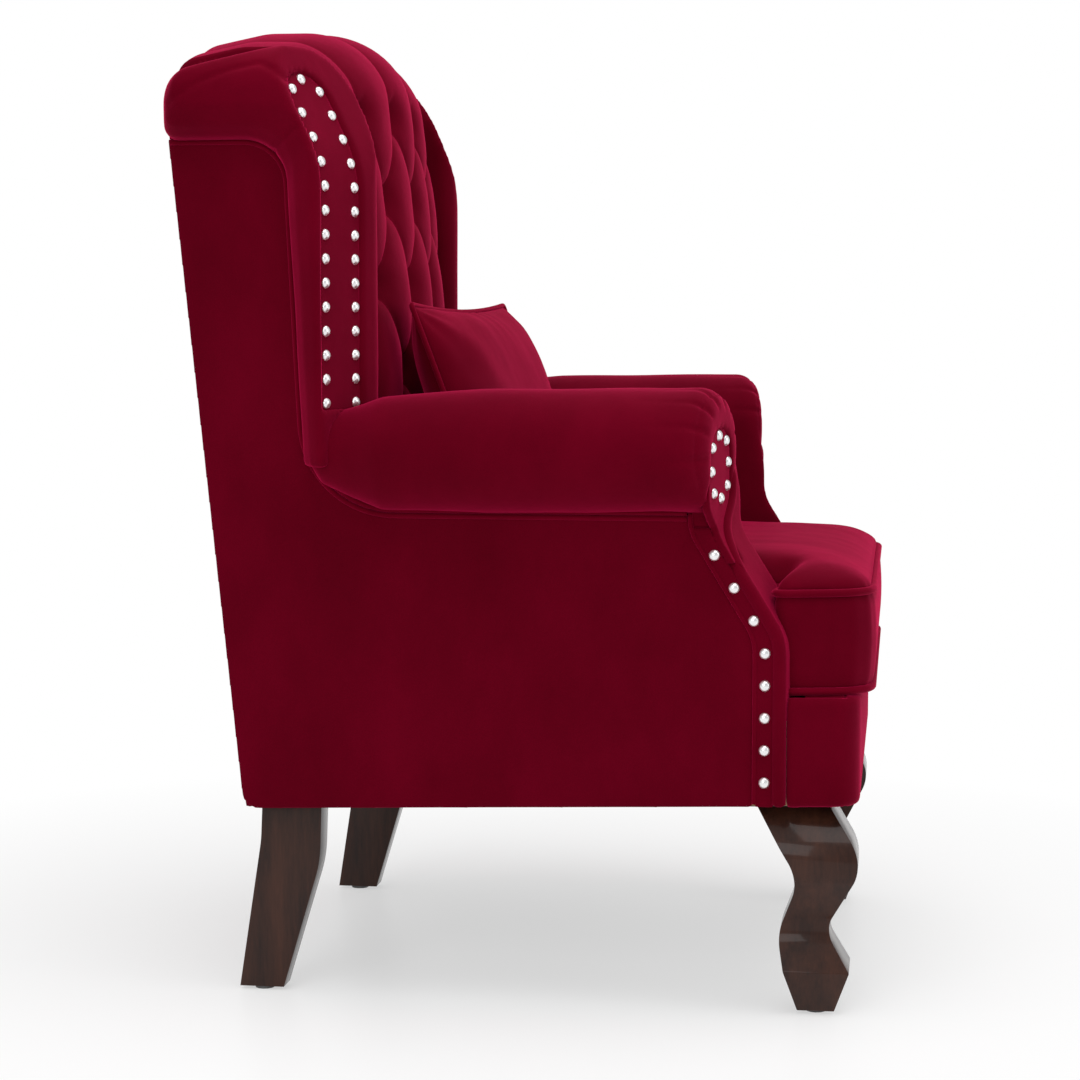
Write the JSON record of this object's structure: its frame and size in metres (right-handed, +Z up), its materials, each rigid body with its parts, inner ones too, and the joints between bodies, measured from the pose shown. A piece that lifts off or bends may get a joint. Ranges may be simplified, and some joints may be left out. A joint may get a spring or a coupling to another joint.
{
  "type": "wingback chair",
  "caption": "Upholstered wingback armchair with a tufted back, scrolled arms, nail-trimmed front panels, a loose T cushion, a throw pillow and carved legs.",
  "frame": {"origin": "on the floor, below the middle of the chair's width and depth", "axes": "+Z up, -Y the way the chair faces, +X the sitter's left"},
  "size_m": [0.7392, 0.7732, 1.08],
  "materials": {
    "velvet": "wine velvet pile",
    "frame_wood": "raw hardwood, inside the cloth",
    "leg_wood": "dark stain under gloss lacquer",
    "nails": "polished domes",
    "steel": "plain wire and bolts",
    "lining": "black lining cloth and webbing",
    "glide": "matt"
  },
  "bodies": {
    "chair": {"arm_board_left": "frame_wood", "arm_board_right": "frame_wood", "arm_front_panel_left": "velvet", "arm_front_panel_right": "velvet", "arm_nails_left": "nails", "arm_nails_right": "nails", "arm_pad_left": "velvet", "arm_pad_right": "velvet", "arm_post_left": "frame_wood", "arm_post_right": "frame_wood", "back_buttons": "velvet", "back_pad": "velvet", "back_post_left": "frame_wood", "back_post_right": "frame_wood", "back_webbing": "lining", "corner_blocks": "frame_wood", "crest_rail": "frame_wood", "dust_cover": "lining", "front_border": "velvet", "front_leg_left": "leg_wood", "front_leg_right": "leg_wood", "front_seat_rail": "frame_wood", "leg_bolts": "steel", "leg_glides": "glide", "lumbar_rail": "frame_wood", "outside_back_panel": "velvet", "outside_side_panel_left": "velvet", "outside_side_panel_right": "velvet", "rear_leg_left": "leg_wood", "rear_leg_right": "leg_wood", "rear_seat_rail": "frame_wood", "seat_deck": "velvet", "seat_springs": "steel", "side_seat_rail_left": "frame_wood", "side_seat_rail_right": "frame_wood", "side_welt_left": "velvet", "side_welt_right": "velvet", "spring_clips": "steel", "wing_board_left": "frame_wood", "wing_board_right": "frame_wood", "wing_front_panel_left": "velvet", "wing_front_panel_right": "velvet", "wing_nails_left": "nails", "wing_nails_right": "nails", "wing_pad_left": "velvet", "wing_pad_right": "velvet"},
    "cushion": {"seat_cushion": "velvet", "cushion_piping_top": "velvet", "cushion_piping_bottom": "velvet"},
    "pillow": {"throw_pillow": "velvet", "pillow_piping": "velvet"}
  },
  "joints": [
    {"name": "cushion_lift", "type": "slide", "parent": "chair", "child": "cushion", "axis": [0, -0.866, 0.5], "range_m": [0, 0.62]},
    {"name": "pillow_lift", "type": "slide", "parent": "cushion", "child": "pillow", "axis": [0, -0.3, 0.9539], "range_m": [0, 0.35]}
  ]
}
